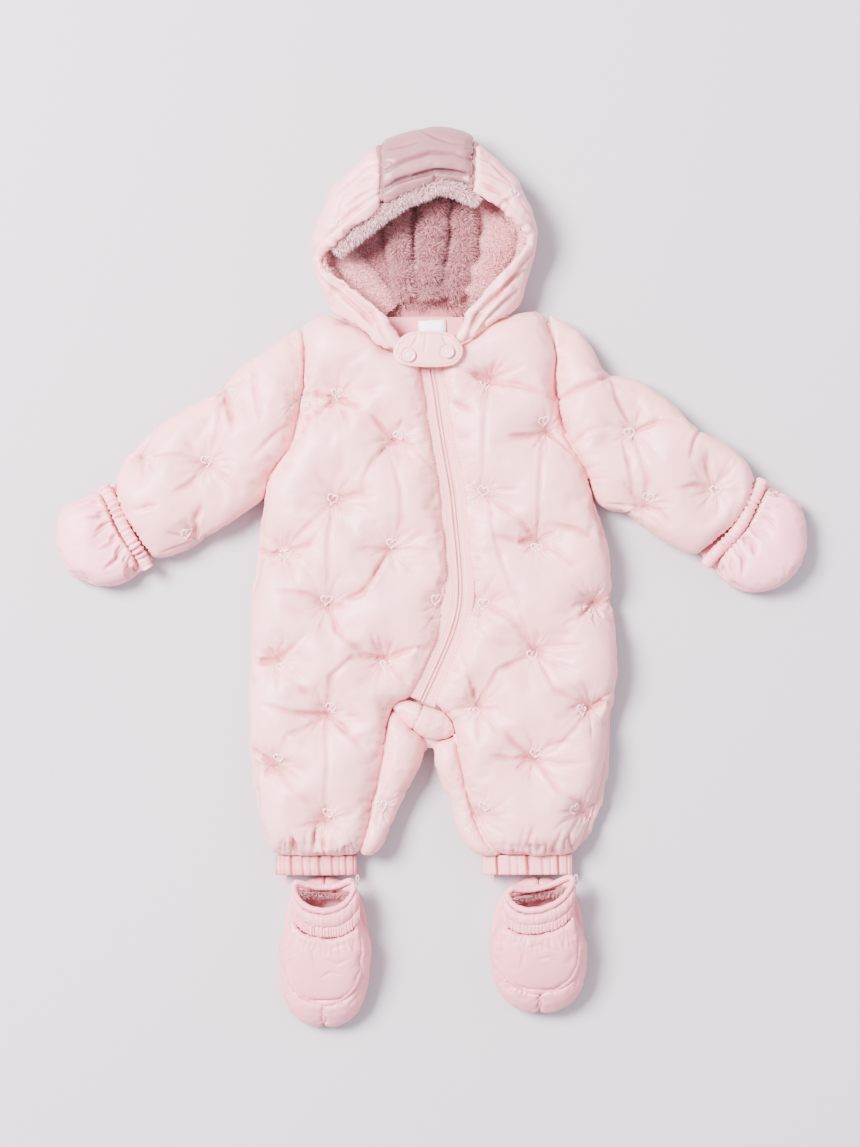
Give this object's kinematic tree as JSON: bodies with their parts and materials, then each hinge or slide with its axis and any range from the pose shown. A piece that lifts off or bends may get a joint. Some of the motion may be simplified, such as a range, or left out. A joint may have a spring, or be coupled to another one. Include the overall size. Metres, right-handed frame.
{
  "type": "baby snowsuit",
  "caption": "Quilted padded snowsuit for a baby, laid flat, with a fur-lined hood, fold-over mittens, a curved front zip, elastic leg cuffs and matching soft bootees.",
  "frame": {"origin": "middle of the outline seen from above, on the surface that the garment lies on", "axes": "+X across, to the right of a viewer who looks down at the front; +Y up the garment to the hood; +Z off the surface"},
  "size_m": [0.6782, 0.809, 0.0646],
  "materials": {
    "shell": "padded satin-faced polyester, pale pink",
    "shell_shade": "plain satin polyester, pale pink",
    "fur": "short pile fur fabric, dusty pink",
    "lining": "satin lining over padding, pink",
    "tape": "woven zip tape, pink",
    "coil": "moulded coil, pink",
    "snap": "moulded snap cap, pale pink",
    "label": "blank woven satin label, white",
    "elastic": "gathered cloth over elastic, pink",
    "sole": "quilted cloth sole, pink"
  },
  "bodies": {
    "root": {"back": "shell_shade", "front_left": "shell", "front_right": "shell", "inner_leg_left": "shell", "inner_leg_right": "shell", "crotch_left": "shell", "crotch_right": "shell", "zip_tape_left": "tape", "zip_tape_right": "tape", "zip_coil": "coil", "zip_slider": "coil", "neck_tab": "shell", "snap_left": "snap", "snap_right": "snap", "neck_facing": "shell_shade", "label": "label", "hood_crown": "shell", "hood_side_left": "shell", "hood_side_right": "shell", "hood_lining_back": "fur", "hood_lining_left": "lining", "hood_lining_right": "lining", "sleeve_left": "shell", "sleeve_right": "shell", "mitten_back_left": "shell_shade", "mitten_front_left": "shell", "mitten_elastic_left": "elastic", "leg_cuff_left": "elastic", "bootee_sole_left": "sole", "bootee_side_outer_left": "shell", "bootee_side_inner_left": "shell", "bootee_vamp_left": "shell", "bootee_elastic_left": "elastic", "bootee_collar_left": "shell", "bootee_binding_left": "shell", "bootee_lining_left": "fur", "bootee_loop_left_outer": "tape", "bootee_loop_left_inner": "tape", "mitten_back_right": "shell_shade", "mitten_front_right": "shell", "mitten_elastic_right": "elastic", "leg_cuff_right": "elastic", "bootee_sole_right": "sole", "bootee_side_outer_right": "shell", "bootee_side_inner_right": "shell", "bootee_vamp_right": "shell", "bootee_elastic_right": "elastic", "bootee_collar_right": "shell", "bootee_binding_right": "shell", "bootee_lining_right": "fur", "bootee_loop_right_outer": "tape", "bootee_loop_right_inner": "tape"}
  },
  "joints": []
}
